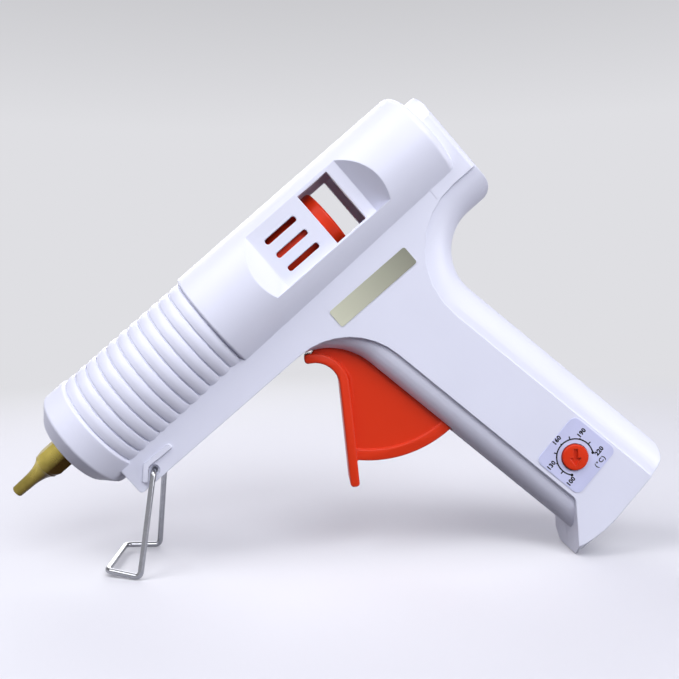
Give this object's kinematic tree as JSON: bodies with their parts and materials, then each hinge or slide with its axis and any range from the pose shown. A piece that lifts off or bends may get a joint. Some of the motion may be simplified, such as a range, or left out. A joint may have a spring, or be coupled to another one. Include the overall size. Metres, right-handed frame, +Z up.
{
  "type": "hot glue applicator",
  "caption": "Trigger-fed hot glue gun with ribbed barrel, brass nozzle, folding wire stand, sliding stick feed and temperature dial.",
  "frame": {"origin": "centre of the footprint box, on the table that the stand's foot and the handle's toe touch", "axes": "+X from the nozzle towards the handle's heel, +Y from the dial's side to the screws' side, +Z up from the table"},
  "size_m": [0.2241, 0.04, 0.1587],
  "materials": {
    "white_abs": "satin moulded, white",
    "orange_abs": "satin moulded, orange-red",
    "brass": "turned",
    "steel": "plain",
    "chrome_wire": "bright plated wire",
    "aluminium": "die cast",
    "phenolic": "dark heat-proof moulding",
    "mica": "mica sheet",
    "silicone": "matt",
    "board": "solder-masked board",
    "scale_film": "printed film",
    "foil": "champagne foil, blank",
    "rubber": "matt"
  },
  "bodies": {
    "housing": {"shell_left": "white_abs", "shell_right": "white_abs", "nozzle": "brass", "nozzle_ball": "steel", "nozzle_spring": "steel", "melt_chamber": "aluminium", "heater": "phenolic", "heater_clip": "steel", "heat_shield": "mica", "nose_bushing": "phenolic", "rear_bushing": "phenolic", "inlet_sleeve": "silicone", "sleeve_clip": "steel", "trigger_pin": "steel", "return_spring": "steel", "stick_guide": "white_abs", "control_board": "board", "potentiometer": "steel", "dial_plate": "scale_film", "name_plate": "foil", "cord_gland": "rubber", "shell_screws": "steel"},
    "trigger": {"trigger": "orange_abs"},
    "carriage": {"feed_carriage": "orange_abs", "drive_pin": "steel", "jaw_pin": "steel"},
    "jaw": {"stick_jaw": "steel"},
    "stand": {"stand": "chrome_wire"},
    "dial": {"dial": "orange_abs", "dial_shaft": "aluminium"}
  },
  "joints": [
    {"name": "trigger_pull", "type": "hinge", "parent": "housing", "child": "trigger", "pos_m": [0.01239, 0, 0.07689], "axis": [0, -1, 0], "range_deg": [0, 22], "stiffness_Nm_per_rad": 0.5, "springref_deg": -8.59, "deforming": ["return_spring"]},
    {"name": "carriage_slide", "type": "slide", "parent": "housing", "child": "carriage", "axis": [-0.7681, 0, -0.6404], "range_m": [0, 0.0097]},
    {"name": "jaw_tip", "type": "hinge", "parent": "carriage", "child": "jaw", "pos_m": [-0.01142, 0, 0.12168], "axis": [0, -1, 0], "range_deg": [0, 8]},
    {"name": "stand_fold", "type": "hinge", "parent": "housing", "child": "stand", "pos_m": [-0.06144, 0, 0.03473], "axis": [0, -1, 0], "range_deg": [0, 145]},
    {"name": "dial_turn", "type": "hinge", "parent": "housing", "child": "dial", "pos_m": [0.08087, -0.01363, 0.03536], "axis": [0, 1, 0], "range_deg": [0, 256]}
  ],
  "couplings": [
    {"joint": "carriage_slide", "follows": "trigger_pull", "m_per_rad": 0.02491},
    {"joint": "jaw_tip", "follows": "trigger_pull", "ratio": 0.3636}
  ]
}
